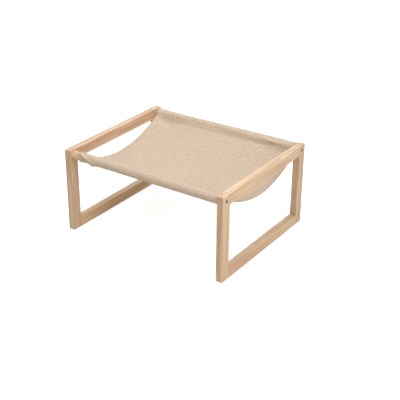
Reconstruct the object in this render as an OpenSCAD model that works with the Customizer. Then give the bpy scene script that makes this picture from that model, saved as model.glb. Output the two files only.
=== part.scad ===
// Cat hammock: two wooden side frames, two round crossbars between them, and a cloth sling
// whose sleeves slide over the bars. Millimetres, floor at z = 0, width along x, front at -y.

/* [Frame] */
// Overall width, across both side frames
frame_w = 520; // [380:5:700]
// Overall depth, front to rear
frame_d = 420; // [340:5:600]
// Overall height
frame_h = 245; // [200:5:400]
// Thickness of the frame stock, across the width
stock_t = 20; // [18:1:30]
// Width of an upright, along the depth
upright_w = 30; // [29:1:44]
// Height of a rail
rail_h = 30; // [29:1:44]
// Radius of the eased edges of the frame stock
edge_r = 1; // [0.5:0.5:4]

/* [Corner dowels] */
// Diameter of a wooden dowel pin
dowel_d = 6; // [4:0.5:6]
// Length of a dowel pin
dowel_l = 30; // [24:1:40]
// Length of a dowel pin that sits in the upright
dowel_in_upright = 12; // [8:1:12]
// From a rail's top or bottom face to the axis of the nearest dowel
dowel_edge = 6; // [5:0.5:6]
// Glue room all round a dowel
dowel_clear = 0.1; // [0.05:0.05:0.2]
// Glue room past each end of a dowel
dowel_end_room = 1; // [0.5:0.5:1.5]

/* [Crossbars] */
// Diameter of a crossbar
bar_d = 24; // [20:0.5:26]
// Chamfer round each end of a crossbar
bar_chamfer = 1; // [0.5:0.5:2]

/* [Bolts and inserts] */
// Thread diameter of a bolt
bolt_d = 6; // [5:1:6]
// Length of a bolt under its head
bolt_l = 40; // [34:1:50]
// Diameter of a bolt's cap head
head_d = 10; // [9:0.5:10]
// Height of a bolt's cap head
head_h = 6; // [4:0.5:6]
// Size across the flats of the hex socket
hex_af = 5; // [3:0.5:5]
// Depth of the hex socket
hex_depth = 3; // [2:0.5:3]
// How far a bolt's head lies below the face of the upright
head_recess = 3; // [1:0.5:4]
// Room all round a bolt's head
head_clear = 0.3; // [0.2:0.1:0.4]
// Room all round a bolt's shank in the wood
shank_clear = 0.3; // [0.2:0.1:0.5]
// Room between a bolt's thread and its insert
thread_clear = 0.08; // [0.05:0.01:0.1]
// Room in the bar past a bolt's tip
tip_room = 3; // [2:0.5:6]
// Outside diameter of a threaded insert
insert_d = 10; // [9:0.5:11]
// Length of a threaded insert
insert_l = 22; // [15:1:25]
// Diameter of the insert's flange
flange_d = 14; // [13:0.5:16]
// Thickness of the insert's flange
flange_t = 1.5; // [1:0.5:2]
// Room all round an insert
insert_clear = 0.05; // [0.05:0.01:0.1]

/* [Sling] */
// Thickness of the cloth
cloth_t = 1; // [0.6:0.1:1.2]
// Room between the cloth and a crossbar
cloth_clear = 0.3; // [0.3:0.05:0.6]
// Room between the cloth's side edges and the side frames
side_room = 3; // [1:0.5:20]
// Length of the front bar that the bunched left end of its sleeve leaves bare
front_bunch = 24; // [0:1:60]
// From a crossbar's axis to the seam that closes its sleeve
seam_reach = 19; // [18:0.5:30]
// Angle of the front seam below the bar's axis
front_seam_angle = 20; // [0:1:40]
// Angle of the rear seam below the bar's axis, at the left edge
rear_left_seam_angle = 20; // [0:1:70]
// The same at the right edge, where the sleeve has turned further round its bar
rear_right_seam_angle = 65; // [0:1:70]
// Sag of the bed's left edge below the line between the seams
left_sag = 42; // [20:1:80]
// Sag of the bed's right edge below the line between the seams
right_sag = 56; // [20:1:80]
// Width of the hem that is sewn down past each seam
hem_w = 12; // [6:1:20]
// Room between the hem and the bed that it is sewn to
hem_room = 0.3; // [0.2:0.1:0.5]

/* [Hidden] */
$fn = 64;

// Half the distance between the middles of the two side frames
side_x = (frame_w - stock_t) / 2;
// Half the distance between the middles of the front and rear uprights, where the bars are too
bar_y = (frame_d - upright_w) / 2;
// Height of the bars' axes, at the middle of the top rails
bar_z = frame_h - rail_h / 2;
bar_l = frame_w - 2 * stock_t;
rail_l = frame_d - 2 * upright_w;

counterbore_d = head_d + 2 * head_clear;
counterbore_depth = head_h + head_recess;
shank_hole_d = bolt_d + 2 * shank_clear;
// How far a bolt reaches into the end of a bar
bolt_reach = bolt_l - (stock_t - counterbore_depth);

// Cuts run this far past the face that they open
cut_past = 1;

// Steps of the cloth round a bar, along the bed and across the width
wrap_steps = 12;
bed_steps = 16;
across_steps = 12;

WOOD = [0.86, 0.70, 0.53];
DOWEL_WOOD = [0.80, 0.66, 0.47];
CLOTH = [0.86, 0.78, 0.67];
STEEL = [0.45, 0.45, 0.47];
BRASS = [0.78, 0.64, 0.32];

// Places children that are drawn on the right (+x) side onto the given side
module on_side(side) {
    mirror([side < 0 ? 1 : 0, 0, 0]) children();
}

// Places children that are drawn at the rear (+y) end onto the given end
module at_end(end) {
    mirror([0, end < 0 ? 1 : 0, 0]) children();
}

// A rectangle whose corners are true arcs
module eased_rect(w, h) {
    square([w - 2 * edge_r, h], center = true);
    square([w, h - 2 * edge_r], center = true);
    for (sx = [-1, 1], sy = [-1, 1])
        translate([sx * (w / 2 - edge_r), sy * (h / 2 - edge_r)])
            circle(edge_r);
}

// Frame stock that runs along y from y0 for the given length, eased along its length only
module rail_stock(y0, length, z) {
    translate([0, y0 + length, z])
        rotate([90, 0, 0])
            linear_extrude(length)
                eased_rect(stock_t, rail_h);
}

// A cube with every edge eased: three eased outlines that cross each other
module eased_block(x, y, z) {
    intersection() {
        translate([0, 0, -z / 2])
            linear_extrude(z)
                eased_rect(x, y);
        translate([0, y / 2, 0])
            rotate([90, 0, 0])
                linear_extrude(y)
                    eased_rect(x, z);
        translate([-x / 2, 0, 0])
            rotate([90, 0, 90])
                linear_extrude(x)
                    eased_rect(y, z);
    }
}

// Axes of the dowels of a rail, as distances from the rail's middle
dowel_steps = [-1, 1] * (rail_h / 2 - dowel_edge);

// Pins of one corner joint at the rear (+y) end of a rail, grown by the given room
module joint_pins(z, pin_room, end_room) {
    for (dz = dowel_steps)
        translate([0, rail_l / 2 + dowel_in_upright + end_room, z + dz])
            rotate([90, 0, 0])
                cylinder(d = dowel_d + 2 * pin_room, h = dowel_l + 2 * end_room);
}

rail_heights = [rail_h / 2, bar_z];

// Stepped hole for a bolt, along x through the top of an upright
module bolt_hole() {
    translate([-stock_t / 2 - cut_past, 0, 0])
        rotate([0, 90, 0])
            cylinder(d = shank_hole_d, h = stock_t + 2 * cut_past);
    translate([stock_t / 2 - counterbore_depth, 0, 0])
        rotate([0, 90, 0])
            cylinder(d = counterbore_d, h = counterbore_depth + cut_past);
}

// Upright of the right frame's rear end; the rails' edges run on across its ends
module upright() {
    difference() {
        union() {
            translate([0, bar_y, frame_h / 2])
                eased_block(stock_t, upright_w, frame_h);
            for (z = rail_heights)
                rail_stock(rail_l / 2, upright_w / 2, z);
        }
        for (z = rail_heights)
            joint_pins(z, dowel_clear, dowel_end_room);
        translate([0, bar_y, bar_z])
            bolt_hole();
    }
}

module placed_upright(side, end) {
    color(WOOD) on_side(side) at_end(end)
        translate([side_x, 0, 0])
            upright();
}

// Rail between the two uprights of a frame, drilled at both ends
module placed_rail(side, z) {
    color(WOOD) on_side(side)
        translate([side_x, 0, 0])
            difference() {
                rail_stock(-rail_l / 2, rail_l, z);
                for (end = [-1, 1])
                    at_end(end)
                        joint_pins(z, dowel_clear, dowel_end_room);
            }
}

// All the dowel pins of one side frame
module corner_dowels(side) {
    color(DOWEL_WOOD) on_side(side)
        translate([side_x, 0, 0])
            for (end = [-1, 1], z = rail_heights)
                at_end(end)
                    joint_pins(z, 0, 0);
}

// Stepped hole in a bar's end for its insert's flange, its insert and the bolt's tip
module bar_end_hole() {
    cylinder(d = flange_d + 2 * insert_clear, h = flange_t);
    cylinder(d = insert_d + 2 * insert_clear, h = insert_l);
    cylinder(d = shank_hole_d, h = bolt_reach + tip_room);
}

// Round bar with chamfered ends, each drilled for an insert and a bolt
module crossbar(end) {
    color(WOOD)
        translate([0, end * bar_y, bar_z])
            difference() {
                rotate([0, 90, 0])
                    rotate_extrude()
                        polygon([
                            [0, -bar_l / 2],
                            [bar_d / 2 - bar_chamfer, -bar_l / 2],
                            [bar_d / 2, -bar_l / 2 + bar_chamfer],
                            [bar_d / 2, bar_l / 2 - bar_chamfer],
                            [bar_d / 2 - bar_chamfer, bar_l / 2],
                            [0, bar_l / 2]
                        ]);
                for (side = [-1, 1])
                    on_side(side)
                        translate([bar_l / 2, 0, 0])
                            rotate([0, -90, 0])
                                bar_end_hole();
            }
}

// Flanged nut that is screwed into a bar's end, flush with it
module insert(side, end) {
    color(BRASS) on_side(side)
        translate([bar_l / 2, end * bar_y, bar_z])
            rotate([0, -90, 0])
                difference() {
                    union() {
                        cylinder(d = flange_d, h = flange_t);
                        cylinder(d = insert_d, h = insert_l);
                    }
                    translate([0, 0, -cut_past])
                        cylinder(d = bolt_d + 2 * thread_clear, h = insert_l + 2 * cut_past);
                }
}

// Cap-head bolt whose head sits on the floor of its counterbore
module bolt(side, end) {
    color(STEEL) on_side(side)
        translate([frame_w / 2 - counterbore_depth, end * bar_y, bar_z])
            rotate([0, 90, 0])
                difference() {
                    union() {
                        cylinder(d = head_d, h = head_h);
                        translate([0, 0, -bolt_l])
                            cylinder(d = bolt_d, h = bolt_l);
                    }
                    translate([0, 0, head_h - hex_depth])
                        cylinder(d = hex_af / cos(30), h = hex_depth + cut_past, $fn = 6);
                }
}

// The sling is one strip of cloth. Its middle line is a list of [y, z] points: it starts at the
// front hem, turns the front bar, sags as the bed, turns the rear bar and ends at the rear hem.

// The cloth turns a bar by about this angle, on straight chords. Their ends stand out from the bar
// by enough for their middles to stay clear of it.
wrap_angle = 270;
chord_half_angle = wrap_angle / wrap_steps / 2;
// Radius of the cloth's middle line where it turns a bar
wrap_r = (bar_d / 2 + cloth_clear) / cos(chord_half_angle) + cloth_t / 2;
// Half the angle, seen from the bar's axis, that a sleeve is off its bar on the way to its seam
loose_half_angle = acos(wrap_r / seam_reach);

// Seam of a sleeve, from its bar's axis, with the bed towards +y
function seam_offset(angle) = seam_reach * [cos(angle), -sin(angle)];

// Unit direction at an angle above +y
function heading(angle) = [cos(angle), sin(angle)];

// Points of one sleeve, hem first and ending over the bar, from its bar's axis
function sleeve_points(seam_angle, bed_angle) =
    let (
        first = -seam_angle - loose_half_angle,
        last = -seam_angle + loose_half_angle - 360,
        under = (cloth_t + hem_room) * heading(bed_angle - 90),
        seam = seam_offset(seam_angle)
    )
    concat(
        [seam + under + hem_w * heading(bed_angle), seam + under],
        [for (i = [0 : wrap_steps]) wrap_r * heading(first + (last - first) * i / wrap_steps)]
    );

front_bar = [-bar_y, bar_z];
rear_bar = [bar_y, bar_z];
front_seam = front_bar + seam_offset(front_seam_angle);

// Values at a share of the way across the bed, from the left edge to the right one
function between(left, right, across) = left + (right - left) * across;
function sag_at(across) = between(left_sag, right_sag, across);
function rear_seam_angle(across) = between(rear_left_seam_angle, rear_right_seam_angle, across);

function rear_seam(across) = rear_bar + mirrored([seam_offset(rear_seam_angle(across))])[0];
function seam_span(across) = rear_seam(across) - front_seam;

// Parabola of the bed between the seams
function bed_point(u, across) = front_seam + u * seam_span(across) - [0, 4 * sag_at(across) * u * (1 - u)];

// Slope of the bed where it leaves a seam, as an angle above the way into the bed
function front_bed_angle(across) = atan2(seam_span(across).y - 4 * sag_at(across), seam_span(across).x);
function rear_bed_angle(across) = atan2(-seam_span(across).y - 4 * sag_at(across), seam_span(across).x);

function mirrored(points) = [for (p = points) [-p.x, p.y]];
function reversed(points) = [for (i = [len(points) - 1 : -1 : 0]) points[i]];
function shifted(points, by) = [for (p = points) p + by];

// Middle line of the cloth at a share of the way across it
function middle_line(across) =
    let (rear_sleeve = sleeve_points(rear_seam_angle(across), rear_bed_angle(across)))
    concat(
        shifted(sleeve_points(front_seam_angle, front_bed_angle(across)), front_bar),
        [for (i = [0 : bed_steps]) bed_point(i / bed_steps, across)],
        reversed(shifted(mirrored(rear_sleeve), rear_bar))
    );

// Unit normal of a line at one of its points, half way between its two neighbours' directions
function unit(v) = v / norm(v);
function turned(v) = [-v.y, v.x];
function line_normal(line, i) =
    let (
        before = i > 0 ? unit(line[i] - line[i - 1]) : unit(line[1] - line[0]),
        after = i < len(line) - 1 ? unit(line[i + 1] - line[i]) : before
    )
    turned(unit(before + after));

// The cloth's side edges: straight on the right, and drawn in towards the front on the left
right_edge = bar_l / 2 - side_room;
function left_edge(y) =
    let (front_share = max(0, min(1, (bar_y - y) / (2 * bar_y))))
    front_bunch * front_share - right_edge;
function cloth_x(across, y) = left_edge(y) + (right_edge - left_edge(y)) * across;

// Points of one face of the cloth along one line of it; face is 1 above the bed and -1 below it
function face_points(across, face) =
    let (line = middle_line(across))
    [
        for (i = [0 : len(line) - 1])
            let (p = line[i] + face * cloth_t / 2 * line_normal(line, i))
            [cloth_x(across, line[i].x), p.x, p.y]
    ];

// Two triangles for a four-cornered patch
function patch(a, b, c, d) = [[a, b, c], [a, c, d]];

module sling() {
    line_n = len(middle_line(0));
    points = [
        for (s = [0 : across_steps], face = [1, -1])
            each face_points(s / across_steps, face)
    ];
    // Index of a point: its line across the cloth, its face (0 above, 1 below) and its place along the line
    function at(s, face, i) = (2 * s + face) * line_n + i;
    above = [
        for (s = [0 : across_steps - 1], i = [0 : line_n - 2])
            each patch(at(s, 0, i), at(s, 0, i + 1), at(s + 1, 0, i + 1), at(s + 1, 0, i))
    ];
    below = [
        for (s = [0 : across_steps - 1], i = [0 : line_n - 2])
            each patch(at(s, 1, i), at(s + 1, 1, i), at(s + 1, 1, i + 1), at(s, 1, i + 1))
    ];
    hem_ends = [
        for (s = [0 : across_steps - 1])
            each concat(
                patch(at(s, 0, 0), at(s + 1, 0, 0), at(s + 1, 1, 0), at(s, 1, 0)),
                patch(at(s, 0, line_n - 1), at(s, 1, line_n - 1),
                      at(s + 1, 1, line_n - 1), at(s + 1, 0, line_n - 1))
            )
    ];
    side_edges = [
        for (i = [0 : line_n - 2])
            each concat(
                patch(at(0, 0, i), at(0, 1, i), at(0, 1, i + 1), at(0, 0, i + 1)),
                patch(at(across_steps, 0, i), at(across_steps, 0, i + 1),
                      at(across_steps, 1, i + 1), at(across_steps, 1, i))
            )
    ];
    color(CLOTH)
        polyhedron(points, concat(above, below, hem_ends, side_edges));
}

placed_upright(-1, -1);  // left_front_upright
placed_upright(-1, 1);  // left_rear_upright
placed_rail(-1, bar_z);  // left_top_rail
placed_rail(-1, rail_h / 2);  // left_bottom_rail
corner_dowels(-1);  // left_corner_dowels
placed_upright(1, -1);  // right_front_upright
placed_upright(1, 1);  // right_rear_upright
placed_rail(1, bar_z);  // right_top_rail
placed_rail(1, rail_h / 2);  // right_bottom_rail
corner_dowels(1);  // right_corner_dowels
crossbar(-1);  // front_crossbar
crossbar(1);  // rear_crossbar
insert(-1, -1);  // front_left_insert
insert(1, -1);  // front_right_insert
insert(-1, 1);  // rear_left_insert
insert(1, 1);  // rear_right_insert
bolt(-1, -1);  // front_left_bolt
bolt(1, -1);  // front_right_bolt
bolt(-1, 1);  // rear_left_bolt
bolt(1, 1);  // rear_right_bolt
sling();
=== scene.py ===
# %% [markdown]
# # A cat hammock
#
# The object is a low hammock for a cat: two closed wooden side frames, two round crossbars bolted
# between them, and a strip of coarse cloth whose sewn sleeves slide over the bars.
#
# The wooden pieces already exist as exact solids, in metres, with the floor at z = 0, the width along x
# and the front at -y. This lesson lights them, gives them a finish, and models what solids can't show
# well: the sling, its stitches and the threaded bolts.

# %% Load the frame
import math

import bmesh
import bpy
from mathutils import Matrix, Vector, noise


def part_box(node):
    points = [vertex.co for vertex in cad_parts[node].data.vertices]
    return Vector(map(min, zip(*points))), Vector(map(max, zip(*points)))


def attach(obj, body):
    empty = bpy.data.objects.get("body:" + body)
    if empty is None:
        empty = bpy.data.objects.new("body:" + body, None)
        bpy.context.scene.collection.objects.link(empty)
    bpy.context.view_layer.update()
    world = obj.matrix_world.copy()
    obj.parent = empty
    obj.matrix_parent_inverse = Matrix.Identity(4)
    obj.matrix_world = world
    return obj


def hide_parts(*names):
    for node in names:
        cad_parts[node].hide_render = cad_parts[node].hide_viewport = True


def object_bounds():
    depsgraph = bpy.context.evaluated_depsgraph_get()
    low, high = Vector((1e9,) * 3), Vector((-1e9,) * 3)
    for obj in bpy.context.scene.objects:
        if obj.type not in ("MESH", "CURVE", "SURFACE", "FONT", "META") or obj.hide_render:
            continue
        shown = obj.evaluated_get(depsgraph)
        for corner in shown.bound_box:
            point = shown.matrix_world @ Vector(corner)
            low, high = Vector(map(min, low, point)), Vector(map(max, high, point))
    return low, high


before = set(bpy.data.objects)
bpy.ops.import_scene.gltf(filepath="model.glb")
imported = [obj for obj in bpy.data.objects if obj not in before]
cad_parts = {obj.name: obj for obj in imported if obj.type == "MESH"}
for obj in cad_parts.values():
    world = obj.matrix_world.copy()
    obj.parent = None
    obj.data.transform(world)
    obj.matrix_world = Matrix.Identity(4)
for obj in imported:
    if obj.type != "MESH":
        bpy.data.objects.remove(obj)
cad_low, cad_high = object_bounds()
MM = 0.001
print("solids:", len(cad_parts), "box:", [round(side / MM, 1) for side in cad_high - cad_low])

# %% [markdown]
# ## The camera
#
# A camera that repeats a photograph needs its place, its turn and its lens. They were found by fitting
# the straight edges of the frames to the picture. A track-to constraint could aim the camera, but the
# view is rolled half a degree, so the three axes of the camera are worked out instead.

# %% Camera
view_azimuth = math.radians(33.96)
view_elevation = math.radians(26.78)
view_roll = math.radians(0.49)
view_distance = 2564.6 * MM
# How far the middle of the object lies right of the picture's middle and below it
view_right = -39.6 * MM
view_down = -39.05 * MM
# Focal length as a share of the picture's width, both in pixels
focal_share = 905.46 / 400

towards_camera = Vector((
    math.sin(view_azimuth) * math.cos(view_elevation),
    -math.cos(view_azimuth) * math.cos(view_elevation),
    math.sin(view_elevation),
))
level_right = Vector((0, 0, 1)).cross(towards_camera).normalized()
level_up = towards_camera.cross(level_right)
roll = Matrix.Rotation(view_roll, 3, towards_camera)
camera_right = roll @ level_right
camera_up = roll @ level_up

camera_data = bpy.data.cameras.new("camera")
camera_data.sensor_width = 36
camera_data.lens = focal_share * camera_data.sensor_width
camera = bpy.data.objects.new("camera", camera_data)
bpy.context.collection.objects.link(camera)
object_middle = Vector((0, 0, cad_high.z / 2))
camera.matrix_world = Matrix.Translation(
    object_middle - view_right * camera_right + view_down * camera_up + view_distance * towards_camera
) @ Matrix((camera_right, camera_up, towards_camera)).transposed().to_4x4()
bpy.context.scene.camera = camera
print("camera at", [round(c, 3) for c in camera.location], "lens", round(camera_data.lens, 2))

# %% [markdown]
# ## Floor and light
#
# The picture is a bright studio one: white all round, soft light from above, and hardly a shadow. A big
# soft box over the object gives that, because a large light wraps round the pieces. The floor throws
# warm light back up at the sides of the wood. For the camera alone it also glows a little, so that it
# is white in the picture without lighting the wood more. The plain Standard view keeps white as white.

# %% Helpers for meshes and materials
def shader_of(material):
    """A material's Principled shader."""
    return material.node_tree.nodes["Principled BSDF"]


def plain_material(name, colour, roughness):
    """A material with one Principled shader."""
    material = bpy.data.materials.new(name)
    material.use_nodes = True
    shader_of(material).inputs["Base Color"].default_value = (*colour, 1)
    shader_of(material).inputs["Roughness"].default_value = roughness
    return material


def finished_mesh(name, bm):
    """A mesh from a bmesh, which is freed."""
    mesh = bpy.data.meshes.new(name)
    bm.to_mesh(mesh)
    bm.free()
    return mesh


def mesh_object(name, bm):
    """A new object at the origin from a bmesh, which is freed."""
    made = bpy.data.objects.new(name, finished_mesh(name, bm))
    bpy.context.collection.objects.link(made)
    return made


def feed(socket, value):
    """Links a socket to another one, or sets it to a value."""
    if isinstance(value, bpy.types.NodeSocket):
        socket.id_data.links.new(value, socket)
    else:
        socket.default_value = value


print("helpers: meshes and materials")

# %% Floor
# Half the floor's side, in metres
floor_half = 40
floor_drop = 0.5 * MM
floor_colour = (0.84, 0.81, 0.77)
floor_glow = (0.66, 0.69, 0.73)
bm = bmesh.new()
bmesh.ops.create_grid(
    bm, x_segments=1, y_segments=1, size=floor_half, matrix=Matrix.Translation((0, 0, -floor_drop))
)
floor = mesh_object("floor", bm)
pale_floor = plain_material("pale_floor", floor_colour, roughness=0.8)
floor_in = shader_of(pale_floor).inputs
feed(floor_in["Emission Color"], (*floor_glow, 1))
light_path = pale_floor.node_tree.nodes.new("ShaderNodeLightPath")
feed(floor_in["Emission Strength"], light_path.outputs["Is Camera Ray"])
floor.data.materials.append(pale_floor)
print("floor:", 2 * floor_half, "m square")

# %% [markdown]
# A weaker box on the right makes the right hand faces lighter than the front ones. A third one, behind
# the object, hardly lights the wood itself: its diffuse factor is low, so what it adds is the shine
# along the upper edges. The world adds the warm light of a pale room.

# %% Light
def soft_box(name, place, size, power, diffuse=1):
    """A square white light that faces the middle of the object, in metres and watts."""
    light = bpy.data.lights.new(name, "AREA")
    light.size = size
    light.energy = power
    light.diffuse_factor = diffuse
    box = bpy.data.objects.new(name, light)
    bpy.context.collection.objects.link(box)
    box.location = place
    box.rotation_mode = "QUATERNION"
    box.rotation_quaternion = (object_middle - Vector(place)).to_track_quat("-Z", "Y")


soft_box("top_box", place=(0.2, -0.32, 2.2), size=2.6, power=52)
soft_box("right_box", place=(2.6, -0.5, 1.0), size=1.2, power=21)
soft_box("shine_box", place=(-1.3, 1.9, 1.25), size=1.4, power=11, diffuse=0.15)

room_colour = (1, 0.9, 0.78)
room_strength = 0.27
world = bpy.data.worlds.new("studio")
bpy.context.scene.world = world
world.use_nodes = True
background = world.node_tree.nodes["Background"]
background.inputs["Color"].default_value = (*room_colour, 1)
background.inputs["Strength"].default_value = room_strength
bpy.context.scene.view_settings.view_transform = "Standard"

# %% [markdown]
# ## Pine
#
# Sawn pine shows its growth rings as lines along a board and as arcs on its ends. A picture of wood
# wrapped round each piece would not join up at the edges. A solid texture does: every board is cut out
# of a make-believe trunk whose rings run through it, so the end grain comes by itself. The rings, the
# broad pinkish streaks and the fine fibres are one node group, which every board uses with its own
# place in the trunk.

# %% Helpers for nodes and links
def node_beside(kind, values):
    """A new node in the tree of the first socket among some values."""
    tree = next(value.id_data for value in values if isinstance(value, bpy.types.NodeSocket))
    return tree.nodes.new("ShaderNode" + kind)


def add_node(kind, **inputs):
    """Adds a node and feeds its inputs, given by name, or by number as _0, _1 and so on."""
    node = node_beside(kind, inputs.values())
    for key, value in inputs.items():
        label = int(key[1:]) if key[0] == "_" else key.replace("_", " ")
        feed(node.inputs[label], value)
    return node


def math_node(operation, *values):
    """The result of a Math node."""
    node = add_node("Math", **{f"_{i}": value for i, value in enumerate(values)})
    node.operation = operation
    return node.outputs[0]


def mix_colours(factor, first, second, blend="MIX"):
    """The colour of a Mix node between two colours."""
    node = node_beside("Mix", (factor, first, second))
    node.data_type = "RGBA"
    node.blend_type = blend
    # A Mix node has sockets for every type of data, and these are the ones for colours
    for number, value in ((0, factor), (6, first), (7, second)):
        feed(node.inputs[number], value)
    return node.outputs[2]


print("helpers: nodes and links")

# %% Helpers for colours, ranges and noise
def shaded(colour, value):
    """A colour times a value."""
    grey = add_node("CombineColor", Red=value, Green=value, Blue=value)
    return mix_colours(1.0, colour, grey.outputs["Color"], "MULTIPLY")


def share_of(value, low, high):
    """How far a value is from low to high, held between 0 and 1, with soft ends."""
    node = add_node("MapRange", Value=value, From_Min=low, From_Max=high)
    node.interpolation_type = "SMOOTHSTEP"
    return node.outputs["Result"]


def stretched(value, low, high, source=(0.0, 1.0)):
    """A value stretched from its source range to go from low to high."""
    first, last = source
    node = add_node("MapRange", Value=value, From_Min=first, From_Max=last, To_Min=low, To_Max=high)
    return node.outputs["Result"]


def noise_at(place, scale, detail, roughness=0.5):
    """Soft noise at a place; the scale is about how many bumps a unit of length has."""
    node = add_node("TexNoise", Vector=place, Scale=scale, Detail=detail, Roughness=roughness)
    return node.outputs["Fac"]


def swayed(place, scale, sway):
    """A place that soft noise moves by up to the sway, along x and y."""
    drift = add_node("TexNoise", Vector=place, Scale=scale, Detail=2.0)
    step = add_node("VectorMath", _0=drift.outputs["Color"], _1=(sway, sway, 0))
    step.operation = "MULTIPLY"
    return add_node("VectorMath", _0=place, _1=step.outputs["Vector"]).outputs["Vector"]


def object_place(material):
    """Places on a surface, in its object's own coordinates."""
    return material.node_tree.nodes.new("ShaderNodeTexCoord").outputs["Object"]


# Most of a soft noise lies between these two values
NOISE_RANGE = (0.3, 0.7)
print("helpers: colours, ranges and noise")

# %% Helper for node groups
def new_group(name, *colours):
    """A shader node group that turns a place and named colours into a colour, roughness and height."""
    group = bpy.data.node_groups.new(name, "ShaderNodeTree")
    group.interface.new_socket("Place", in_out="INPUT", socket_type="NodeSocketVector")
    for label in colours:
        group.interface.new_socket(label, in_out="INPUT", socket_type="NodeSocketColor")
    for label, kind in (("Colour", "Color"), ("Roughness", "Float"), ("Height", "Float")):
        group.interface.new_socket(label, in_out="OUTPUT", socket_type="NodeSocket" + kind)
    entry = group.nodes.new("NodeGroupInput")
    result = group.nodes.new("NodeGroupOutput")
    return group, entry.outputs, result.inputs


print("helpers: node groups")

# %% Growth rings, streaks and fibres
ring_width = 5.5 * MM
ring_sway = 12 * MM
# Blender's ring texture turns once in this length at a scale of 1
WAVE_LENGTH = 2 * math.pi / 20
# Everything in wood is drawn out along the trunk, which is z here
along_trunk = 0.07
sway_scale = 26.0
streak_scale = 95.0
fibre_scale = 1500.0
# Share of a ring's width at which late wood begins
late_from = 0.45

wood_grain, wood_in, wood_out = new_group("wood_grain", "Early Wood", "Late Wood", "Streak")
drawn_out = add_node("Mapping", Vector=wood_in["Place"], Scale=(1, 1, along_trunk))
drawn_out = drawn_out.outputs["Vector"]
ring_place = swayed(drawn_out, sway_scale, ring_sway)
rings = add_node("TexWave", Vector=ring_place, Scale=WAVE_LENGTH / ring_width)
rings.wave_type = "RINGS"
rings.rings_direction = "Z"
rings.wave_profile = "SAW"
late_wood = share_of(rings.outputs["Fac"], late_from, 1.0)
streaks = noise_at(drawn_out, streak_scale, detail=3.0, roughness=0.55)
fibre = noise_at(drawn_out, fibre_scale, detail=4.0, roughness=0.65)
print("rings:", ring_width / MM, "mm apart")

# %% Wood colour, gloss and relief
ring_contrast = 0.9
ring_relief = 0.5
# Noise values from no streak to a full one
streak_range = (0.40, 0.66)
fibre_values = (0.94, 1.04)
wood_roughness = (0.36, 0.5)
ring_depth = math_node("MULTIPLY", late_wood, ring_contrast)
ringed = mix_colours(ring_depth, wood_in["Early Wood"], wood_in["Late Wood"])
in_streak = share_of(streaks, *streak_range)
streaked = mix_colours(in_streak, ringed, wood_in["Streak"])
fibre_shade = stretched(fibre, *fibre_values, NOISE_RANGE)
feed(wood_out["Colour"], shaded(streaked, fibre_shade))
feed(wood_out["Roughness"], stretched(fibre, *wood_roughness, NOISE_RANGE))
raised = math_node("MULTIPLY_ADD", late_wood, ring_relief, fibre)
feed(wood_out["Height"], raised)
print("wood_grain nodes:", len(wood_grain.nodes))

# %% [markdown]
# ## Boards and bars
#
# The grain of a board runs along its length, so an upright, a rail and a bar each turn the pattern
# another way. A Mapping node does that, and moves each board to its own part of the trunk, so that no
# two boards are alike. The solids keep their shape: only their material slots change.

# %% Wood materials
def patterned_material(name, pattern, colours, roughness, relief, relief_depth):
    """A material whose colour, roughness and relief come from a node group, and the group's node."""
    material = plain_material(name, next(iter(colours.values())), roughness)
    group = material.node_tree.nodes.new("ShaderNodeGroup")
    group.node_tree = pattern
    for label, colour in colours.items():
        group.inputs[label].default_value = (*colour, 1)
    bump = add_node("Bump", Height=group.outputs["Height"], Strength=relief, Distance=relief_depth)
    inputs = shader_of(material).inputs
    feed(inputs["Base Color"], group.outputs["Colour"])
    feed(inputs["Roughness"], group.outputs["Roughness"])
    feed(inputs["Normal"], bump.outputs["Normal"])
    return material, group


def wood_material(name, grain_axis, place, colours):
    """Wood with its grain along x, y or z, cut from the trunk at a place of its own."""
    material, grain = patterned_material(
        name, wood_grain, colours, roughness=0.55, relief=0.25, relief_depth=0.15 * MM
    )
    turn = {"x": (0, -math.pi / 2, 0), "y": (math.pi / 2, 0, 0), "z": (0, 0, 0)}[grain_axis]
    in_trunk = add_node("Mapping", Vector=object_place(material), Location=place, Rotation=turn)
    feed(grain.inputs["Place"], in_trunk.outputs["Vector"])
    return material


def finish_node(name, material):
    """Gives a solid its material, in every slot."""
    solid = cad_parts[name]
    for slot in solid.material_slots:
        slot.material = material
    if not solid.material_slots:
        solid.data.materials.append(material)


print("wood materials use the group", wood_grain.name)

# %% Pine boards and bars
pine_colours = {
    "Early Wood": (0.75, 0.572, 0.394),
    "Late Wood": (0.52, 0.355, 0.2),
    "Streak": (0.61, 0.392, 0.25),
}
grain_axes = {"upright": "z", "rail": "y", "crossbar": "x"}
pine_nodes = [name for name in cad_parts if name.split("_")[-1] in grain_axes]
# Boards differ in tone, and these stand out from the rest; the tones are partly the boards' own and
# partly painted light: the left bottom rail is made lighter against the shade of the bed above it
board_tones_and_painted_light = {
    "right_rear_upright": (0.9, 0.9, 0.9),
    "right_bottom_rail": (1.0, 0.99, 0.97),
    "left_top_rail": (0.95, 0.91, 0.9),
    "left_bottom_rail": (1.1, 1.06, 1.0),
    "right_top_rail": (1.05, 1.05, 1.05),
}
# Where the first board lies in the trunk and the steps from board to board, in metres; the step along
# x starts again after a few boards
trunk_start_x = 0.055
trunk_step_x = 0.013
boards_along_x = 4
trunk_step_y = 0.31
trunk_step_z = 0.17
for number, name in enumerate(pine_nodes):
    trunk_x = trunk_start_x + trunk_step_x * (number % boards_along_x)
    trunk_place = (trunk_x, trunk_step_y * number, trunk_step_z * number)
    tone = board_tones_and_painted_light.get(name, (1, 1, 1))
    colours = {label: [a * b for a, b in zip(tone, pine)] for label, pine in pine_colours.items()}
    along = grain_axes[name.split("_")[-1]]
    finish_node(name, wood_material("pine_" + name, along, trunk_place, colours))
print("pine solids:", len(pine_nodes))

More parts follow.
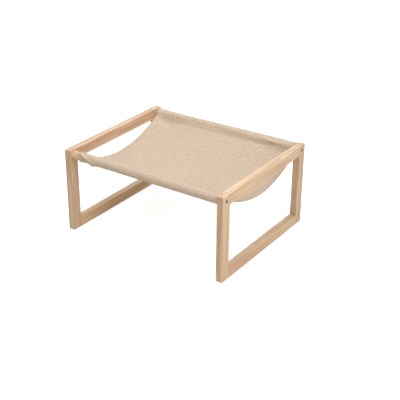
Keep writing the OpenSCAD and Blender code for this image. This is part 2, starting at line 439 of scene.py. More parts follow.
# %% Beech dowels
beech_colours = {
    "Early Wood": (0.62, 0.42, 0.25),
    "Late Wood": (0.52, 0.32, 0.17),
    "Streak": (0.58, 0.36, 0.2),
}
dowel_places = {"left_corner_dowels": (0.04, 0, 0), "right_corner_dowels": (0.04, 0.2, 0)}
for name, place in dowel_places.items():
    finish_node(name, wood_material("beech_" + name, "y", place, beech_colours))
print("beech solids:", len(dowel_places))

# %% [markdown]
# ## Bronze plated bolts
#
# One socket head bolt holds each end of each bar. At rest only a dark hole shows, but the bolt comes
# out when the hammock is taken apart, so it is worth modelling. A lathe would turn it from a bar, and
# the same idea works here: a ring of edges is extruded and scaled from station to station, up the
# hexagon socket from its floor, over the head and down the shank. The thread is a small triangle that
# is spun round the axis and carried along it.

# %% Sizes of a bolt
bolt_names = [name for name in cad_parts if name.endswith("_bolt")]
bolt_low, bolt_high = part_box(bolt_names[0])
head_radius = (bolt_high.z - bolt_low.z) / 2
head_height = 6 * MM
bolt_length = bolt_high.x - bolt_low.x
key_width = 5 * MM
hexagon_depth = 3 * MM
core_radius = 2.45 * MM
edge_break = 0.5 * MM
print("bolt:", round(bolt_length / MM, 1), "mm long, head", round(2 * head_radius / MM, 1), "mm")

# %% Turning a bolt
ring_points = 48


def round_ring(bm, x, radius, corners, filled=False):
    """A ring of edges round the x axis, open or filled with a face."""
    made = bmesh.ops.create_circle(
        bm, cap_ends=filled, segments=corners, radius=radius,
        matrix=Matrix.Translation((x, 0, 0)) @ Matrix.Rotation(math.pi / 2, 4, "Y"),
    )
    return list({edge for corner in made["verts"] for edge in corner.link_edges})


def extrude_ring(bm, ring, x, scale):
    """Extrudes a ring of edges, scales it about the x axis and moves it to x."""
    grown = bmesh.ops.extrude_edge_only(bm, edges=ring)["geom"]
    corners = [part for part in grown if isinstance(part, bmesh.types.BMVert)]
    for corner in corners:
        corner.co = Vector((x, corner.co.y * scale, corner.co.z * scale))
    return [part for part in grown if isinstance(part, bmesh.types.BMEdge)]


def turn_socket(bm):
    """The hexagon socket, from its floor up to the ring where it meets the flat of the head."""
    hexagon = round_ring(bm, -hexagon_depth, key_width / math.sqrt(3), 6, filled=True)
    bmesh.ops.subdivide_edges(bm, edges=hexagon, cuts=ring_points // 6 - 1)
    return extrude_ring(bm, [edge for edge in bm.edges if edge.is_boundary], 0, 1)


def turn_bolt():
    """A bolt along x with the flat of its head at x = 0 and its tip at x = -bolt_length."""
    bm = bmesh.new()
    socket_mouth = turn_socket(bm)
    flat = round_ring(bm, 0, head_radius - edge_break, ring_points)
    bmesh.ops.bridge_loops(bm, edges=socket_mouth + flat)
    stations = [
        (-edge_break, head_radius),
        (-head_height + edge_break / 2, head_radius),
        (-head_height, head_radius - edge_break / 2),
        (-head_height, core_radius),
        (-bolt_length + edge_break, core_radius),
        (-bolt_length, core_radius - edge_break),
    ]
    ring, radius = flat, head_radius - edge_break
    for x, next_radius in stations:
        ring = extrude_ring(bm, ring, x, next_radius / radius)
        radius = next_radius
    bmesh.ops.contextual_create(bm, geom=ring)
    return bm


print("bolt: rings of", ring_points, "points")

# %% Thread of a bolt
thread_pitch = 1 * MM
thread_turns = 30
steps_a_turn = 20
crest_radius = 2.95 * MM
ridge_width = 0.8 * thread_pitch
# The ridge starts a little inside the core, so that no gap shows between them
root_radius = core_radius - 0.05 * MM


def cut_thread(bm):
    """Winds a triangular ridge round the part of the shank before the tip."""
    first_x = -bolt_length + edge_break + thread_pitch * thread_turns
    profile = [(0, root_radius), (-ridge_width / 2, crest_radius), (-ridge_width, root_radius)]
    start = bm.faces.new([bm.verts.new((first_x + x, 0, z)) for x, z in profile])
    bmesh.ops.spin(
        bm, geom=[start, *start.edges, *start.verts], cent=(0, 0, 0), axis=(1, 0, 0),
        dvec=(-thread_pitch / steps_a_turn, 0, 0),
        angle=2 * math.pi * thread_turns, steps=thread_turns * steps_a_turn,
    )


print("thread:", round(thread_turns * thread_pitch / MM), "mm long")

# %% [markdown]
# The plating is a dark brown metal that is never quite even: a fine noise moves its roughness, and a
# coarse one its tint. The inserts in the bars are plain brass, with the same unevenness.

# %% Metals
tint_scale = 260.0
speck_scale = 2600.0
# Noise values from bright to dull metal
dull_range = (0.35, 0.7)
metal_roughness = (0.28, 0.48)
worn_metal, metal_in, metal_out = new_group("worn_metal", "Bright", "Dull")
tint = noise_at(metal_in["Place"], tint_scale, detail=3.0)
speck = noise_at(metal_in["Place"], speck_scale, detail=2.0)
dulled = share_of(tint, *dull_range)
feed(metal_out["Colour"], mix_colours(dulled, metal_in["Bright"], metal_in["Dull"]))
feed(metal_out["Roughness"], stretched(speck, *metal_roughness, NOISE_RANGE))
feed(metal_out["Height"], speck)


def metal_material(name, bright, dull):
    """A metal whose tint and gloss are a little uneven."""
    colours = {"Bright": bright, "Dull": dull}
    material, wear = patterned_material(
        name, worn_metal, colours, roughness=0.35, relief=0.15, relief_depth=0.02 * MM
    )
    shader_of(material).inputs["Metallic"].default_value = 1
    feed(wear.inputs["Place"], object_place(material))
    return material


bronze = metal_material("bronze_plate", bright=(0.30, 0.185, 0.105), dull=(0.20, 0.12, 0.07))
brass = metal_material("brass", bright=(0.74, 0.55, 0.27), dull=(0.58, 0.41, 0.18))
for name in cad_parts:
    if name.endswith("_insert"):
        finish_node(name, brass)
print("metals:", bronze.name, brass.name)

# %% Four bolts
merge_distance = 0.001 * MM
for name in bolt_names:
    low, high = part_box(name)
    points_right = high.x > 0
    head_x = high.x if points_right else low.x
    bm = turn_bolt()
    cut_thread(bm)
    bmesh.ops.remove_doubles(bm, verts=bm.verts, dist=merge_distance)
    bmesh.ops.recalc_face_normals(bm, faces=bm.faces)
    turn = Matrix.Identity(4) if points_right else Matrix.Rotation(math.pi, 4, "Z")
    middle = Vector((head_x, (low.y + high.y) / 2, (low.z + high.z) / 2))
    bmesh.ops.transform(bm, matrix=Matrix.Translation(middle) @ turn, verts=bm.verts)
    threaded = mesh_object(name + "_threaded", bm)
    threaded.data.materials.append(bronze)
    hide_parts(name)
    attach(threaded, name)
print("bolts:", len(bolt_names), "with", len(threaded.data.polygons), "faces each")

# %% [markdown]
# ## The shape of the sling
#
# The sling is one strip of cloth. Seen from the side it starts at a hem under the front of the bed,
# goes under, round and over the front bar, dips as the bed, goes up the rear bar, over it and down
# behind it, and ends at a second hem. A cloth simulation could find such a shape, but the photograph
# fixes the dip of both side edges, and they differ: the strip hangs askew. So the line is drawn here
# part by part, as a point for each share t of each part, and the strip is laid along it.

# %% Bars
def bar_axis(name):
    """Where a bar's axis is, as (y, z), and the bar's radius."""
    low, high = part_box(name)
    return Vector(((low.y + high.y) / 2, (low.z + high.z) / 2)), (high.z - low.z) / 2


cloth_thickness = 1.0 * MM
sleeve_room = 0.3 * MM
axis_front, bar_radius = bar_axis("front_crossbar")
axis_rear, _ = bar_axis("rear_crossbar")
sleeve_radius = bar_radius + sleeve_room + cloth_thickness / 2


def heading(angle):
    """Unit direction at an angle above the way into the bed."""
    return Vector((math.cos(angle), math.sin(angle)))


def from_bar(end, offset):
    """The (y, z) of an offset from a bar's axis, with the bed towards +."""
    if end == "front":
        return axis_front + offset
    return axis_rear + Vector((-offset.x, offset.y))


print("radius of bars and sleeves in mm:", round(bar_radius / MM, 1), round(sleeve_radius / MM, 1))

# %% [markdown]
# Each sleeve is closed by a seam beside its bar. A seam is placed by its distance from the bar's axis
# and by its angle below that axis. Along the front bar both stay the same. The rear seam is uneven:
# left of the middle it is further out, and at its right end it falls much lower, where the bed also
# hangs deepest.

# %% Seams
seam_reach = 19 * MM
seam_fall = math.radians(20)
# The rear seam is further out round this share of the way from the left edge to the right one
rear_reach_out = 3.5 * MM
reach_out_middle = 0.36
reach_out_half = 0.2
# The rear seam falls a little lower all the way to the right, and most near its end
rear_fall_along = math.radians(8)
rear_fall_at_end = math.radians(37)
end_power = 12


def hill(value, middle, half_width):
    """A smooth hill of height 1."""
    return math.exp(-(((value - middle) / half_width) ** 2))


def seam_angle(end, across):
    """Angle of a seam below its bar's axis."""
    if end == "front":
        return seam_fall
    across = max(0, across)
    return seam_fall + rear_fall_along * across + rear_fall_at_end * across**end_power


def reach(end, across):
    """How far a seam is from its bar's axis."""
    if end == "front":
        return seam_reach
    return seam_reach + rear_reach_out * hill(across, reach_out_middle, reach_out_half)


def seam(end, across):
    """The (y, z) of a seam."""
    return from_bar(end, reach(end, across) * heading(-seam_angle(end, across)))


def seam_span(across):
    """The way from the front seam to the rear one."""
    return seam("rear", across) - seam("front", across)


bed_depth = seam_span(0.5).length
print("seams:", {end: [round(c / MM, 1) for c in seam(end, 0.5)] for end in ("front", "rear")})

# %% [markdown]
# Between its seams the bed hangs in a parabola, the curve of an evenly loaded strip. A sleeve is made
# of four parts: the hem that lies under the bed, the straight way under the bar, the wrap round the
# bar, and the straight way over it back to the seam. The straight parts touch the wrap as tangents, so
# the angle at which they leave it follows from the seam's distance.

# %% Slopes and angles
bed_sags = (42 * MM, 56 * MM)
hem_tail = 12 * MM


def between(left_and_right, across):
    """A value at a share of the way from the left edge to the right one."""
    left, right = left_and_right
    return left + (right - left) * across


def bed_slope(end, across):
    """Angle at which the bed leaves a seam, above the way into the bed."""
    span = seam_span(across)
    rise = span.y if end == "front" else -span.y
    return math.atan2(rise - 4 * between(bed_sags, across), span.x)


def wrap_angle(end, t, across=0):
    """Angle round a bar, from under it (t = 0) to where the sleeve leaves it over it (t = 1)."""
    sewn_at = -seam_angle(end, across)
    off_bar = math.acos(sleeve_radius / reach(end, across))
    first = sewn_at - off_bar
    last = sewn_at + off_bar - 2 * math.pi
    return first + (last - first) * t


print("sags in mm:", [round(sag / MM) for sag in bed_sags])

# %% One line of the cloth, from the side
def sleeve_line(end, part, t, across):
    """A point of a sleeve: its hem, the way under the bar, the wrap or the way over it to the seam."""
    slope = bed_slope(end, across)
    below_bed = (cloth_thickness + sleeve_room) * heading(slope - math.pi / 2)
    sewn = reach(end, across) * heading(-seam_angle(end, across))
    if part == "hem":
        offset = sewn + below_bed + (1 - t) * hem_tail * heading(slope)
    elif part == "under":
        offset = (sewn + below_bed).lerp(sleeve_radius * heading(wrap_angle(end, 0, across)), t)
    elif part == "wrap":
        offset = sleeve_radius * heading(wrap_angle(end, t, across))
    else:
        offset = (sleeve_radius * heading(wrap_angle(end, 1, across))).lerp(sewn, t)
    return from_bar(end, offset)


def cloth_line(row, across):
    """A point of the cloth's middle line as (y, z), for a row of the strip."""
    end, part, t = row
    if end == "bed":
        dip = 4 * between(bed_sags, across) * t * (1 - t)
        return seam("front", across) + t * seam_span(across) - Vector((0, dip))
    return sleeve_line(end, part, t, across)


# Parts of a sleeve, with the rows of points in each
sleeve_parts = [("hem", 5), ("under", 5), ("wrap", 44), ("over", 12)]
bed_rows = 110
rows = [("front", part, i / count) for part, count in sleeve_parts for i in range(count)]
rows += [("bed", "bed", i / bed_rows) for i in range(bed_rows)]
rows += [("rear", part, 1 - i / count) for part, count in reversed(sleeve_parts) for i in range(count)]
rows.append(("rear", "hem", 0))
print("rows of the strip:", len(rows))

# %% [markdown]
# ## Side edges
#
# The strip has been pulled askew on the bars. On the right its edge runs straight, close to the frame.
# On the left the front sleeve is bunched up: a stretch of bar is bare, and the sleeve's mouth slants
# round the bar down to a small corner that hangs loose. The slant is a quarter of a cosine on either
# side of the place where the mouth is drawn in most, so that it turns softly there.

# %% Left and right edges
edge_slack = 1.8 * MM
right_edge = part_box("sling")[1].x + edge_slack
rear_left_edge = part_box("sling")[0].x
front_left_edge = -213 * MM
# The mouth of the front sleeve is drawn in most at this angle round the bar
mouth_angle = math.radians(-140)
mouth_slant = 46 * MM
# The mouth is square again this far round the bar, up its front and under it
mouth_up = math.radians(90)
mouth_under = math.radians(72)


def mouth_x(angle):
    """The x of the front sleeve's left edge at an angle round the bar."""
    way_round = mouth_under if angle > mouth_angle else mouth_up
    share = min(1, abs(angle - mouth_angle) / way_round)
    return front_left_edge + mouth_slant * math.cos(share * math.pi / 2)


def left_edge(row):
    """The x of the strip's left edge at a row."""
    end, part, t = row
    if end == "bed":
        return front_left_edge + (rear_left_edge - front_left_edge) * t
    if end == "rear":
        return rear_left_edge
    if part == "wrap":
        return mouth_x(wrap_angle(end, t))
    return front_left_edge


def share_across(x):
    """Share of the way from the strip's left edge, at the rear, to its right edge."""
    return (x - rear_left_edge) / (right_edge - rear_left_edge)


print("edges:", round(front_left_edge / MM), round(rear_left_edge / MM), round(right_edge / MM))

# %% [markdown]
# ## Folds of the rear sleeve
#
# Cloth on a bar never lies quite smooth. A sculptor would push folds into the mesh, but a fold that is
# a short formula, with a place, a width and a depth taken from the photograph, can still be changed
# later. Each one gives a height above the smooth shape. The rear sleeve is fuller towards the right,
# its seam is drawn in here and there, and near the right end it is pushed out under a roll of cloth.

# %% Sizes of the rear folds
# Where the rear seam is drawn in, or pushed out if the depth is below 0: x, half width and depth in mm
rear_folds = [(-137, 15, 2), (-70, 25, 1.5), (20, 30, 1.5), (130, 20, 1.5), (190, 26, -4.5)]
seam_waver = 0.5 * MM
seam_waver_size = 16 * MM
# The sleeve grows fuller from one place to the other, most behind its top; angles are in degrees
rear_puff = 3.2 * MM
puff_from = -140 * MM
puff_to = 200 * MM
puff_angle = 110
puff_spread = 75
# The roll near the right end and the groove below it
roll_middle = 172 * MM
roll_half = 15 * MM
roll_height = 5.5 * MM
roll_angle = 30
roll_spread = 13
groove_depth = 2.0 * MM
groove_angle = -9
groove_spread = 10
wrap_waver = 0.25 * MM
wrap_waver_size = 18 * MM


def wander(x, y, size, seed):
    """Soft noise between about -1 and 1 with bumps of a size."""
    return noise.noise(Vector((x / size, y / size, seed)))


def smooth_step(share):
    """Goes softly from 0 to 1, and stays there."""
    share = min(1, max(0, share))
    return share * share * (3 - 2 * share)


print("rear folds:", len(rear_folds), "and a roll")

# %% Heights of the rear folds
def rear_fold(x):
    """How deep the cloth is drawn in at the rear seam."""
    drawn_in = sum(depth * MM * hill(x / MM, middle, half) for middle, half, depth in rear_folds)
    return drawn_in + seam_waver * wander(x, 0, seam_waver_size, seed=3.7)


def puffed(x, angle):
    """How far the sleeve stands off its bar, at an angle above the way into the bed."""
    along_bar = smooth_step((x - puff_from) / (puff_to - puff_from))
    return rear_puff * along_bar * hill(angle, puff_angle, puff_spread)


def rolled(x, angle):
    """Height of the roll and depth of the groove, at an angle above the way into the bed."""
    roll = roll_height * hill(angle, roll_angle, roll_spread)
    groove = groove_depth * hill(angle, groove_angle, groove_spread)
    return (roll - groove) * hill(x, roll_middle, roll_half)


def rear_height(x, part, t):
    """Height of the folds above the smooth rear sleeve."""
    across = share_across(x)
    if part == "over":
        leaves = 360 + math.degrees(wrap_angle("rear", 1, across))
        sewn = -math.degrees(seam_angle("rear", across))
        angle = leaves + (sewn - leaves) * t
        return puffed(x, angle) * (1 - t) + rolled(x, angle) - rear_fold(x) * t
    if part == "wrap":
        angle = 360 + math.degrees(wrap_angle("rear", t, across))
        waver = wrap_waver * (1 + wander(x, 0, wrap_waver_size, seed=6.4))
        return puffed(x, angle) + rolled(x, angle) + waver
    return 0


print("roll:", round(rolled(roll_middle, roll_angle) / MM, 1), "mm high")

# %% [markdown]
# At its left end the rear seam hangs down, and takes the bed and the hem under it along. This is a way
# down and not a height above the cloth, or the bed would sink into its own hem.

# %% Dip at the rear left
dip_middle = -184 * MM
dip_half = 30 * MM
dip_reach = 24 * MM
dip_depth = 10 * MM


def rear_dip(x, row):
    """How far the cloth hangs down beside the left end of the rear seam."""
    end, part, t = row
    if end == "front":
        return 0
    shares = {
        "bed": hill((1 - t) * bed_depth, 0, dip_reach),
        "over": t,
        "under": 1 - t,
        "hem": hill((1 - t) * hem_tail, 0, dip_reach),
    }
    return dip_depth * shares.get(part, 0) * hill(x, dip_middle, dip_half)


print("dip:", round(rear_dip(dip_middle, ("rear", "over", 1)) / MM), "mm deep at the seam")

# %% [markdown]
# ## Folds of the front sleeve and the bed
#
# The front sleeve is bunched at its left end: ripples run alongside its slanting mouth and fade out
# inside it, the mouth stands off the layer below it, and its corner hangs down a little. The bed itself
# has only a broad unevenness, and small puckers beside the front seam.

# %% Front sleeve
bunch_depth = 0.8 * MM
bunch_wave = 15 * MM
bunch_fade = 38 * MM
# The loose corner of the mouth; angles are in degrees
corner_drop = 2 * MM
corner_reach = 8 * MM
corner_angle = -128
corner_spread = 22
# How far the outer layer stands off the layer that is turned in; from a share of the wrap on this fades
turn_in_lift = 1.7 * MM
turn_in_reach = 14 * MM
turn_in_share = 0.66
front_waver = 0.2 * MM
front_waver_size = 22 * MM


def front_height(x, row):
    """Height of the folds above the smooth front sleeve."""
    end, part, t = row
    inside = x - left_edge(row)
    ripple = 0.5 - 0.5 * math.cos(2 * math.pi * inside / bunch_wave)
    height = bunch_depth * ripple * math.exp(-inside / bunch_fade)
    lift = turn_in_lift * hill(inside, 0, turn_in_reach)
    if part == "hem":
        return 0
    if part == "under":
        return t * (height + lift)
    if part == "over":
        return (1 - t) * height
    lift *= smooth_step(1 - (t - turn_in_share) / (1 - turn_in_share))
    angle = math.degrees(wrap_angle(end, t))
    corner = corner_drop * hill(angle, corner_angle, corner_spread) * hill(inside, 0, corner_reach)
    return height + lift + corner + front_waver * wander(x, 0, front_waver_size, seed=8.1)


mouth_height = front_height(front_left_edge, ("front", "wrap", 0))
print("front mouth stands off by", round(mouth_height / MM, 1), "mm")

# %% Bed
bed_waver = 1.3 * MM
bed_waver_size = 75 * MM
pucker_depth = 0.5 * MM
pucker_size = 12 * MM
pucker_start = 2 * MM
pucker_fade = 10 * MM
# The rear folds go on into the bed, half as deep, and fade out there
fold_in_bed = 0.5
fold_fade = 11 * MM


def bed_height(x, t):
    """Height of the folds above the smooth bed."""
    to_front = t * bed_depth
    to_rear = (1 - t) * bed_depth
    slack = bed_waver * wander(x, to_front, bed_waver_size, seed=1.3) * 4 * t * (1 - t)
    beside_seam = math.exp(-to_front / pucker_fade) * min(1, to_front / pucker_start)
    pucker = pucker_depth * wander(x, 0, pucker_size, seed=5.2) * beside_seam
    return slack + pucker - fold_in_bed * rear_fold(x) * math.exp(-to_rear / fold_fade)


def fold_height(x, row):
    """Height of the folds above the smooth cloth."""
    end, part, t = row
    if end == "front":
        return front_height(x, row)
    if end == "bed":
        return bed_height(x, t)
    return rear_height(x, part, t)


print("bed: uneven by up to", bed_waver / MM, "mm")

# %% [markdown]
# ## Laying the strip
#
# A flat grid is the cloth as it was cut, one column of points for each line along it. Each point is
# then moved to its place on the bars and in the bed. Columns stand close together along both sides,
# where the cloth is turned in and sewn as a hem, so that the hem's step is real. Solidify gives the
# strip its thickness, and a vertex group makes it thicker in the hems.

# %% Columns
# A hem's columns, from the edge inwards; it steps down to plain cloth between the last two
hem_steps = [0, 2.2 * MM, 4.5 * MM, 6.8 * MM, 8.8 * MM, 9.8 * MM]
middle_columns = 112
hem_last = len(hem_steps) - 1
column_count = 2 * len(hem_steps) + middle_columns - 1


def column_x(column, row):
    """The x of a column at a row: fixed steps in the hems, even steps between them."""
    left = left_edge(row)
    from_right = column_count - 1 - column
    if column <= hem_last:
        return left + hem_steps[column]
    if from_right <= hem_last:
        return right_edge - hem_steps[from_right]
    share = (column - hem_last) / (column_count - 1 - 2 * hem_last)
    return left + hem_steps[-1] + (right_edge - left - 2 * hem_steps[-1]) * share


def cloth_point(column, row_number):
    """A point of the strip with its folds."""
    row = rows[row_number]
    x = column_x(column, row)
    across = share_across(x)
    here = cloth_line(row, across)
    before = cloth_line(rows[max(row_number - 1, 0)], across)
    after = cloth_line(rows[min(row_number + 1, len(rows) - 1)], across)
    way = (after - before).normalized()
    out = Vector((-way.y, way.x))
    place = here + out * fold_height(x, row)
    return Vector((x, place.x, place.y - rear_dip(x, row)))


print("columns:", column_count)

# %% The strip
# The crease at the rear seam is softened, over this many rows on either side of it
crease_rows = 4
crease_passes = 6


def grid_shares(vert):
    """How far a point of a flat grid is across it and along it, as shares."""
    return (vert.co.x + 1) / 2, (vert.co.y + 1) / 2


def shade_smooth(bm):
    """Lets light run smoothly over the edges between faces."""
    for face in bm.faces:
        face.smooth = True


bm = bmesh.new()
bmesh.ops.create_grid(bm, x_segments=column_count - 1, y_segments=len(rows) - 1, size=1)
strip = [[None] * column_count for _ in rows]
for vert in bm.verts:
    across, along = grid_shares(vert)
    strip[round(along * (len(rows) - 1))][round(across * (column_count - 1))] = vert
for row_number, line in enumerate(strip):
    for column, vert in enumerate(line):
        vert.co = cloth_point(column, row_number)
rear_seam_row = rows.index(("rear", "over", 1.0))
crease_lines = strip[rear_seam_row - crease_rows:rear_seam_row + crease_rows + 1]
crease = [vert for line in crease_lines for vert in line]
for _ in range(crease_passes):
    bmesh.ops.smooth_vert(bm, verts=crease, factor=0.5, use_axis_y=True, use_axis_z=True)
shade_smooth(bm)
bm.normal_update()
print("strip:", len(bm.verts), "points")

# %% Flat coordinates
middle_column = column_count // 2
length_at = [0]
for line, next_line in zip(strip, strip[1:]):
    step = next_line[middle_column].co - line[middle_column].co
    length_at.append(length_at[-1] + step.length)
weave_uv = bm.loops.layers.uv.new("weave")
for row_number, line in enumerate(strip):
    for vert in line:
        for loop in vert.link_loops:
            loop[weave_uv].uv = (vert.co.x, length_at[row_number])
strip_place = [[vert.co.copy() for vert in line] for line in strip]
strip_normal = [[vert.normal.copy() for vert in line] for line in strip]
bm.verts.index_update()
strip_index = [[vert.index for vert in line] for line in strip]
sling = mesh_object("cloth_sling", bm)
print("strip:", round(length_at[-1] / MM), "mm long,", len(sling.data.polygons), "faces")

# %% Thickness and hems
hem_thickness = 2.0 * MM


def thicken(sheet, thickness):
    """Gives a sheet its thickness, half of it on either side."""
    wall = sheet.modifiers.new("thickness", "SOLIDIFY")
    wall.thickness = thickness
    wall.offset = 0
    return wall


hems = sling.vertex_groups.new(name="hem")
hem_columns = [*range(hem_last), *range(column_count - hem_last, column_count)]
hems.add([line[column] for line in strip_index for column in hem_columns], 1, "ADD")
thick = thicken(sling, hem_thickness)
thick.vertex_group = "hem"
thick.thickness_vertex_group = cloth_thickness / hem_thickness
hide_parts("sling")
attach(sling, "hammock")
print("cloth:", cloth_thickness / MM, "mm, hems:", hem_thickness / MM, "mm")

# %% [markdown]
# ## The layer that is turned in
#
# At its bunched end the front sleeve is double: a layer that is turned in has stayed near the upright,
# while the outer layer has slid along the bar and shows its hem. The inner layer is a small sheet of
# its own, because in one strip with the outer one it would have to turn back on itself. It lies between
# the bar and the outer layer, ends under the outer hem, and its mouth stands off the bar a little on
# its underside.

# %% Turned-in layer
turn_in_mouth = -212 * MM
turn_in_overlap = 12 * MM
turn_in_first = math.radians(-55)
turn_in_last = math.radians(-226)
turn_in_thickness = 0.8 * MM
turn_in_room = 0.35 * MM
turn_in_radius = bar_radius + turn_in_room + turn_in_thickness / 2
# The mouth stands off most at an angle round the bar, in degrees
flare_height = 2.0 * MM
flare_reach = 9 * MM
flare_angle = -118
flare_spread = 34

bm = bmesh.new()
bmesh.ops.create_grid(bm, x_segments=16, y_segments=36, size=1)
weave_uv = bm.loops.layers.uv.new("weave")
for vert in bm.verts:
    across, around = grid_shares(vert)
    angle = turn_in_first + (turn_in_last - turn_in_first) * around
    inner_end = mouth_x(angle) + turn_in_overlap
    x = turn_in_mouth + (inner_end - turn_in_mouth) * across
    flare = flare_height * hill(x, turn_in_mouth, flare_reach)
    flare *= hill(math.degrees(angle), flare_angle, flare_spread)
    place = from_bar("front", (turn_in_radius + flare) * heading(angle))
    vert.co = (x, place.x, place.y)
    for loop in vert.link_loops:
        loop[weave_uv].uv = (x, -turn_in_radius * angle)
shade_smooth(bm)
bmesh.ops.reverse_faces(bm, faces=bm.faces)
turn_in = mesh_object("cloth_turned_in", bm)
thicken(turn_in, turn_in_thickness)
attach(turn_in, "hammock")
print("turned-in layer:", len(turn_in.data.polygons), "faces")

# %% [markdown]
# ## Coarse weave
#
# The cloth is a plain weave of thick, uneven, beige yarns: each crosswise yarn, the weft, goes over one
# lengthwise yarn, the warp, and under the next. The warp is the flatter and wider of the two. The
# pattern must follow the cloth round the bars, so it is drawn in the strip's own flat coordinates, kept
# as a UV map in metres. Yarn tops are round, the gaps between yarns are painted dark with the shade
# that falls into them, and each yarn has a tone of its own.

# %% Yarns
warp_pitch = 4.4 * MM
weft_pitch = 2.8 * MM
# Length of yarn over which its shade changes
shade_length = 14 * MM
# Each yarn reads its shade from a line of its own through a noise, and the lines are this far apart
line_spacing = 3.7
slub_scale = 60.0
yarn_wobble = 0.8 * MM

plain_weave, weave_in, weave_out = new_group("plain_weave", "Warp Yarn", "Weft Yarn", "Painted Gap Shade")
flat_place = weave_in["Place"]
wobbled = swayed(flat_place, slub_scale, yarn_wobble)
flat = add_node("SeparateXYZ", Vector=wobbled).outputs


def yarns(coordinate, along, pitch, seed):
    """Number of the yarn at a coordinate, how near its middle the place is, and its shade there."""
    count = math_node("DIVIDE", coordinate, pitch)
    number = math_node("FLOOR", count)
    past_edge = math_node("FRACT", count)
    off_middle = math_node("MULTIPLY_ADD", past_edge, 2.0, -1.0)
    hollow = math_node("MULTIPLY", off_middle, off_middle)
    round_top = math_node("SUBTRACT", 1.0, hollow)
    own_line = math_node("MULTIPLY_ADD", number, line_spacing, seed)
    along_yarn = math_node("DIVIDE", along, shade_length)
    on_yarn = add_node("CombineXYZ", X=own_line, Y=along_yarn).outputs["Vector"]
    return number, round_top, noise_at(on_yarn, 1.0, detail=2.0)


warp_number, warp_top, warp_shade = yarns(flat["X"], flat["Y"], warp_pitch, seed=17.3)
weft_number, weft_top, weft_shade = yarns(flat["Y"], flat["X"], weft_pitch, seed=501.3)
print("yarns in a metre:", round(1 / warp_pitch), "warp and", round(1 / weft_pitch), "weft")

# %% Over and under
# Share of a yarn's height that it keeps at the edges of the yarn it crosses
least_bow = 0.5
crossing = math_node("ADD", warp_number, weft_number)
weft_over = math_node("FLOORED_MODULO", crossing, 2.0)


def over_or_under(warp, weft):
    """The warp's value where the warp lies on top, and the weft's where the weft does."""
    return stretched(weft_over, warp, weft)


def bowed(top, crossed_top):
    """Height of a yarn that bows over the one it crosses."""
    lifted = math_node("MULTIPLY_ADD", crossed_top, 1 - least_bow, least_bow)
    return math_node("MULTIPLY", top, lifted)


yarn_height = over_or_under(bowed(warp_top, weft_top), bowed(weft_top, warp_top))
yarn_shade = over_or_under(warp_shade, weft_shade)
print("plain_weave nodes so far:", len(plain_weave.nodes))

# %% Colour, dryness and relief of the weave
fuzz_scale = 900.0
patch_scale = 120.0
yarn_weight = 0.45
patch_weight = 0.8
fuzz_weight = 0.6
fuzz_relief = 0.25
# The weighted noises go over this range, from the lightest cloth to the darkest
shade_range = (0.65, 1.1)
lightest = 1.12
darkest = 0.86
# Heights of yarn at which the painted shade of a gap begins to show and is at its darkest
gap_begins = 0.42
gap_darkest = 0.02
cloth_roughness = (0.82, 0.98)
fuzz = noise_at(flat_place, fuzz_scale, detail=3.0)
patches = noise_at(flat_place, patch_scale, detail=3.0)
shade_sum = math_node("MULTIPLY", yarn_shade, yarn_weight)
shade_sum = math_node("MULTIPLY_ADD", patches, patch_weight, shade_sum)
shade_sum = math_node("MULTIPLY_ADD", fuzz, fuzz_weight, shade_sum)
yarn_value = stretched(shade_sum, lightest, darkest, shade_range)
two_tone = mix_colours(weft_over, weave_in["Warp Yarn"], weave_in["Weft Yarn"])
yarn_colour = shaded(two_tone, yarn_value)
# Painted shade: where the yarns lie low, between each other, the colour goes over to the dark gap
# colour
gap_shade_mask = share_of(yarn_height, gap_begins, gap_darkest)
feed(weave_out["Colour"], mix_colours(gap_shade_mask, yarn_colour, weave_in["Painted Gap Shade"]))
feed(weave_out["Roughness"], stretched(fuzz, *cloth_roughness))
yarn_relief = math_node("MULTIPLY_ADD", fuzz, fuzz_relief, yarn_height)
feed(weave_out["Height"], yarn_relief)
print("plain_weave nodes:", len(plain_weave.nodes))

# %% Cloth
cloth_colours = {
    "Warp Yarn": (0.82, 0.685, 0.55),
    "Weft Yarn": (0.59, 0.46, 0.35),
    # The gap colour is painted shade for the hollows between yarns
    "Painted Gap Shade": (0.25, 0.18, 0.125),
}
beige_cloth, weave = patterned_material(
    "beige_cloth", plain_weave, cloth_colours, roughness=0.9, relief=0.6, relief_depth=0.5 * MM
)
flat_map = beige_cloth.node_tree.nodes.new("ShaderNodeUVMap")
flat_map.uv_map = "weave"
feed(weave.inputs["Place"], flat_map.outputs["UV"])
shader_of(beige_cloth).inputs["Specular IOR Level"].default_value = 0.15
shader_of(beige_cloth).inputs["Sheen Weight"].default_value = 0.12
sling.data.materials.append(beige_cloth)
turn_in.data.materials.append(beige_cloth)
print("cloth material:", beige_cloth.name)

# %% [markdown]
# ## Stitches
#
# A row of stitches closes each sleeve, and one runs along each side hem. A line of thread could be a
# curve with gaps, but each stitch is really a short bead of thread that dips into the cloth at both
# ends. A small stretched ball does that. The rows follow the strip's own points, so they sink and rise
# with its folds, on both faces of the cloth.

# %% One stitch
stitch_length = 3.4 * MM
stitch_gap = 1.2 * MM
thread_width = 0.5 * MM


def one_stitch():
    """The mesh of one stitch at the origin, along x."""
    bm = bmesh.new()
    size = Matrix.Diagonal((stitch_length / 2, thread_width / 2, thread_width / 2, 1))
    along_x = Matrix.Rotation(math.pi / 2, 4, "Y")
    bmesh.ops.create_uvsphere(bm, u_segments=6, v_segments=5, radius=1, matrix=size @ along_x)
    shade_smooth(bm)
    return finished_mesh("stitch", bm)


def walk(points, step):
    """Even steps along a line: the number of the point before each step, and the share past it."""
    travelled, wanted = 0, step / 2
    for number, (here, there) in enumerate(zip(points, points[1:])):
        piece = (there - here).length
        while wanted <= travelled + piece:
            yield number, (wanted - travelled) / piece
            wanted += step
        travelled += piece


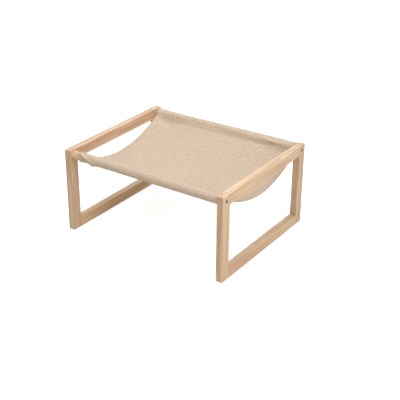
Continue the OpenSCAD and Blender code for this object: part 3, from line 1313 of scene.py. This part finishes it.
def sew(bm, stitch, points, normals, lift):
    """A row of stitches along a line of the cloth, lifted to one of its faces."""
    for number, share in walk(points, stitch_length + stitch_gap):
        along = (points[number + 1] - points[number]).normalized()
        up = normals[number].lerp(normals[number + 1], share)
        up = (up - along * up.dot(along)).normalized()
        place = points[number].lerp(points[number + 1], share) + up * lift
        turn = Matrix((along, up.cross(along), up)).transposed().to_4x4()
        placed = stitch.copy()
        placed.transform(Matrix.Translation(place) @ turn)
        bm.from_mesh(placed)
        bpy.data.meshes.remove(placed)


print("a stitch every", round((stitch_length + stitch_gap) / MM, 1), "mm")

# %% Sewing
# Rows lie in the bed about this far from each seam, and along one column of each hem
front_row_in = 3 * MM
rear_row_in = 4 * MM
hem_row_column = 3
bed_first = rows.index(("bed", "bed", 0))
front_row = bed_first + math.ceil(front_row_in / bed_depth * bed_rows)
rear_row = bed_first + bed_rows - math.floor(rear_row_in / bed_depth * bed_rows)


def sewn_lines():
    """The lines that are sewn, with half the cloth's thickness there: both seams and both side hems."""
    for row_number in (front_row, rear_row):
        yield strip_place[row_number], strip_normal[row_number], cloth_thickness / 2
    for column in (hem_row_column, column_count - 1 - hem_row_column):
        places = [line[column] for line in strip_place]
        normals = [line[column] for line in strip_normal]
        yield places, normals, hem_thickness / 2


bm = bmesh.new()
stitch = one_stitch()
for points, normals, half in sewn_lines():
    sew(bm, stitch, points, normals, half)
    sew(bm, stitch, points, normals, -half)
stitches = mesh_object("sling_stitches", bm)
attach(stitches, "hammock")
print("stitches:", len(stitches.data.polygons), "faces")

# %% Thread
thread_colour = (0.60, 0.47, 0.35)
thread_light = (0.68, 0.54, 0.40, 1)
thread_dark = (0.50, 0.38, 0.27, 1)
thread_fuzz_scale = 1400.0
thread = plain_material("beige_thread", thread_colour, roughness=0.8)
thread_in = shader_of(thread).inputs
thread_fuzz = noise_at(object_place(thread), thread_fuzz_scale, detail=3.0)
feed(thread_in["Base Color"], mix_colours(thread_fuzz, thread_light, thread_dark))
thread_relief = add_node("Bump", Height=thread_fuzz, Strength=0.5, Distance=0.1 * MM)
feed(thread_in["Normal"], thread_relief.outputs["Normal"])
stitches.data.materials.append(thread)
print("flat cloth:", round((right_edge - rear_left_edge) / MM), "by", round(length_at[-1] / MM), "mm")
